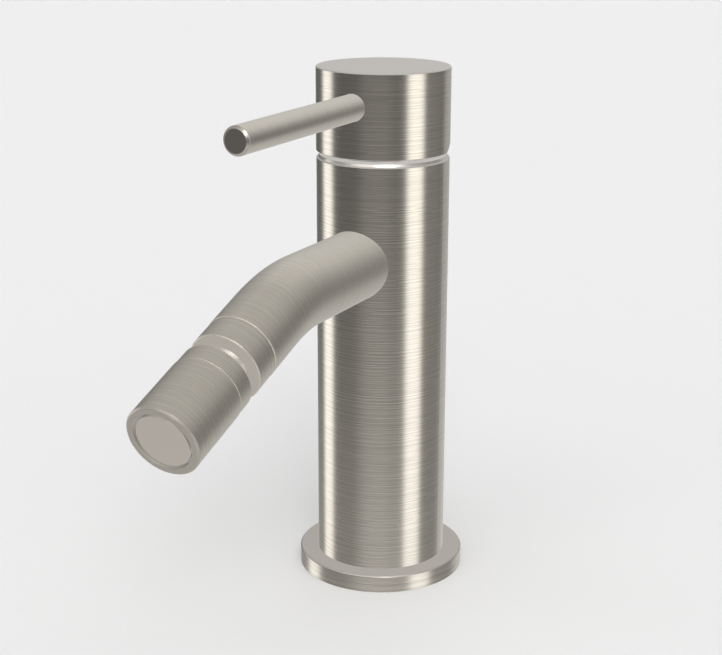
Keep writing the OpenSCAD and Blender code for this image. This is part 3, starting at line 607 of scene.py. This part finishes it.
ball = turned("ball_and_shoulder", [
    (BALL_BORE_R, FLARE_FRONT), (FLARE_R, FLARE_BACK), *ball_arc(BALL_R, FLARE_BACK, NECK_BACK),
    (NECK_R, SHOULDER_BACK, NECK_EDGE), (SHOULDER_R - END_CHAMFER, SHOULDER_BACK, CRISP),
    (SHOULDER_R, SHOULDER_BACK + END_CHAMFER, CRISP), (SHOULDER_R, SHOULDER_FRONT - END_CHAMFER, CRISP),
    (SHOULDER_R - END_CHAMFER, SHOULDER_FRONT, CRISP), (THREAD_R, SHOULDER_FRONT, CRISP),
    (THREAD_R, THREAD_FRONT, SOFT), (CUP_R, THREAD_FRONT, SOFT), (CUP_R, CUP_FLOOR, SOFT),
    (BALL_BORE_R, CUP_FLOOR, SOFT)], path=along_outlet)
ball.data.materials.append(spout_nickel)
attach(ball, "outlet")
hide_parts("ball_outlet")

# The sleeve is turned brass, brushed and plated, with a lip at its mouth that keeps the aerator in.
# It screws over the shoulder's thread and meets the shoulder in a fine line.
SLEEVE_R = highest("outlet_sleeve", X)
SLEEVE_BORE_R = 8.9
SLEEVE_THREAD_R = 9.25
MOUTH = 39.3
MOUTH_CHAMFER = 0.5
LIP_R = 8.5
LIP_BACK = 37.3

sleeve_nickel = shaded("sleeve_nickel", brushed_ring(roughness=0.38, face_colour=(0.46, 0.43, 0.38, 1)))
sleeve = turned("sleeve_turned", [
    (SLEEVE_THREAD_R, SHOULDER_FRONT, CRISP), (SLEEVE_R - END_CHAMFER, SHOULDER_FRONT, CRISP),
    (SLEEVE_R, SHOULDER_FRONT + END_CHAMFER, CRISP), (SLEEVE_R, MOUTH - MOUTH_CHAMFER, SOFT),
    (SLEEVE_R - MOUTH_CHAMFER, MOUTH, SOFT), (LIP_R, MOUTH, EASED), (LIP_R, LIP_BACK, CRISP),
    (SLEEVE_BORE_R, LIP_BACK, CRISP), (SLEEVE_BORE_R, THREAD_FRONT, CRISP),
    (SLEEVE_THREAD_R, THREAD_FRONT, CRISP)], path=along_outlet)
sleeve.data.materials.append(sleeve_nickel)
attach(sleeve, "outlet")
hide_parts("outlet_sleeve")

# The plain face in the mouth is a turned disc on a post, pressed into the aerator's insert. The
# water leaves through the slit round it.
FACE_R = highest("aerator_face", X)
FACE_BACK = 37.85
FACE_FRONT = 39.05
POST_R = 1.5
POST_BACK = 31.05

face = turned("mouth_face", [
    (0, POST_BACK), (POST_R, POST_BACK, SOFT), (POST_R, FACE_BACK, CRISP),
    (FACE_R, FACE_BACK, EASED), (FACE_R, FACE_FRONT, EASED), (0, FACE_FRONT)],
    closed=False, path=along_outlet)
face.data.materials.append(spout_nickel)
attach(face, "outlet")
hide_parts("aerator_face")

# The studio's floor and backdrop are pale and plain. The floor is clear from below, so that the
# mixer's foot can be seen, and the backdrop closes all round at 8 metres without lighting anything.
REACH = 8
CORNERS = [(-REACH, -REACH), (REACH, -REACH), (REACH, REACH), (-REACH, REACH)]


def grey(value):
    return (value, value, value, 1)


def pale_floor(start):
    below = start.node("ShaderNodeNewGeometry", {}, {}, "Backfacing")
    return {"Base Color": grey(0.838), "Roughness": 0.9, "Specular IOR Level": 0.0, "Alpha": 1 - below}


def pale_backdrop(start):
    return {"Base Color": grey(0), "Specular IOR Level": 0.0, "Emission Color": grey(0.86),
            "Emission Strength": 1.0}


def staged(name, vertices, faces, sockets):
    """A sheet of the studio, which isn't part of the mixer."""
    mesh = bpy.data.meshes.new(name)
    mesh.from_pydata(vertices, [], faces)
    mesh.materials.append(shaded(name, sockets))
    sheet = bpy.data.objects.new(name, mesh)
    bpy.context.scene.collection.objects.link(sheet)
    return sheet


staged("floor", [(x, y, 0) for x, y in CORNERS], [(0, 1, 2, 3)], pale_floor)
wall = staged("backdrop", [(x, y, z) for z in (-REACH, REACH) for x, y in CORNERS],
              [(0, 1, 5, 4), (1, 2, 6, 5), (2, 3, 7, 6), (3, 0, 4, 7), (0, 3, 2, 1), (4, 5, 6, 7)],
              pale_backdrop)
wall.visible_diffuse = False
wall.visible_shadow = False

# The camera stands where a lens fitted to the mixer's outlines puts it, in metres from the middle
# of the foot. Its focal length is in pixels of a picture 722 wide.
CAMERA = Vector((0.2064, -0.4111, 0.2157))
AHEAD = Vector((-0.4418, 0.8498, -0.2875)).normalized()
ROLL = 0.0021
FOCAL = 1549.0
PICTURE_WIDTH = 722
SENSOR_WIDTH = 36
FAR = 100

camera_data = bpy.data.cameras.new("camera")
camera_data.sensor_width = SENSOR_WIDTH
camera_data.lens = SENSOR_WIDTH * FOCAL / PICTURE_WIDTH
camera_data.clip_end = FAR
camera = bpy.data.objects.new("camera", camera_data)
bpy.context.scene.collection.objects.link(camera)
aim = AHEAD.to_track_quat("-Z", "Y").to_matrix().to_4x4()
camera.matrix_world = Matrix.Translation(CAMERA) @ aim @ Matrix.Rotation(ROLL, 4, "Z")
bpy.context.scene.camera = camera
bpy.context.scene.view_settings.view_transform = "Standard"

# The light is one soft world: a glow above and below, a glow in front, a back wall, two tall side
# panels, a low fill on the right and a key light above the camera. Azimuths are in degrees from the
# camera's side, positive to its right, and heights are sines of the elevation.
CAMERA_SIDE = math.atan2(CAMERA.x, -CAMERA.y)
AMBIENT = 0.13
GLOW_BELOW = 0.48
GLOW_DEEP = 0.22
GLOW_ABOVE = 0.53
FRONT_GLOW = 0.09
FRONT_GLOW_BELOW = 0.40
BACK_WALL = 0.42
SIDE_PANEL = 1.83
RIGHT_FILL = 0.16
KEY_LIGHT = 5.5

world = bpy.data.worlds.new("soft_studio")
bpy.context.scene.world = world
world.use_nodes = True
world.node_tree.nodes.clear()
sky = Signal(world.node_tree)
look = sky.node("ShaderNodeTexCoord", {}, {}, "Generated")
height = sky.node("ShaderNodeSeparateXYZ", {}, {"Vector": look}, "Z")
level = sky.vector("NORMALIZE", sky.vector("MULTIPLY", look, (1, 1, 0)))


def cosine(degrees):
    return math.cos(math.radians(degrees))


def toward(azimuth, elevation=0.0):
    """Direction at an azimuth and an elevation."""
    a, e = CAMERA_SIDE + math.radians(azimuth), math.radians(elevation)
    return (math.sin(a) * math.cos(e), -math.cos(a) * math.cos(e), math.sin(e))


def panel(azimuth, half, soft):
    """1 inside an upright strip of the studio, falling to 0 at its soft edges."""
    near = sky.vector("DOT_PRODUCT", level, toward(azimuth), output="Value")
    return near.ramp(cosine(half + soft), cosine(half - soft))


def spot(azimuth, elevation, inner, outer):
    """1 inside a round light, falling to 0 at its outer edge."""
    near = sky.vector("DOT_PRODUCT", look, toward(azimuth, elevation), output="Value")
    return near.ramp(cosine(outer), cosine(inner))


def between(foot, low, high, top):
    """1 between the heights low and high, falling to 0 at foot and top."""
    return height.ramp(foot, low) * height.ramp(top, high)


below = height.ramp(-0.1, -0.68)
deep = height.ramp(-0.5, -0.75)
above = height.ramp(-0.25, 0.7)
front = panel(azimuth=-12, half=22, soft=13) * FRONT_GLOW
front += panel(azimuth=6, half=35, soft=30) * below * FRONT_GLOW_BELOW
front_top = panel(azimuth=-8, half=52, soft=18) * between(0.25, 0.42, 0.8, 0.95)
back_wall = panel(azimuth=160, half=34, soft=9) * between(-0.75, -0.35, 0.75, 0.95)
left_panel = panel(azimuth=-110.5, half=12.5, soft=5)
right_panel = panel(azimuth=57.5, half=14.9, soft=5)
side_panels = (left_panel + right_panel) * between(-0.7, -0.3, 0.15, 0.45)
right_fill = panel(azimuth=98, half=14, soft=12) * between(-0.42, -0.2, -0.1, 0.05)
key_light = spot(azimuth=6, elevation=37, inner=9, outer=14)

light = AMBIENT + below * GLOW_BELOW + deep * GLOW_DEEP + above * GLOW_ABOVE
light += front * between(-0.75, -0.5, 0.1, 0.3) + front_top + back_wall * BACK_WALL
light += side_panels * SIDE_PANEL + right_fill * RIGHT_FILL + key_light * KEY_LIGHT
shine = sky.node("ShaderNodeBackground", {}, {"Color": light, "Strength": 1.0})
sky.node("ShaderNodeOutputWorld", {}, {"Surface": shine})

# The metal shows this light alone: the pieces and the studio's sheets don't mirror each other.
for thing in bpy.context.scene.objects:
    thing.visible_glossy = False
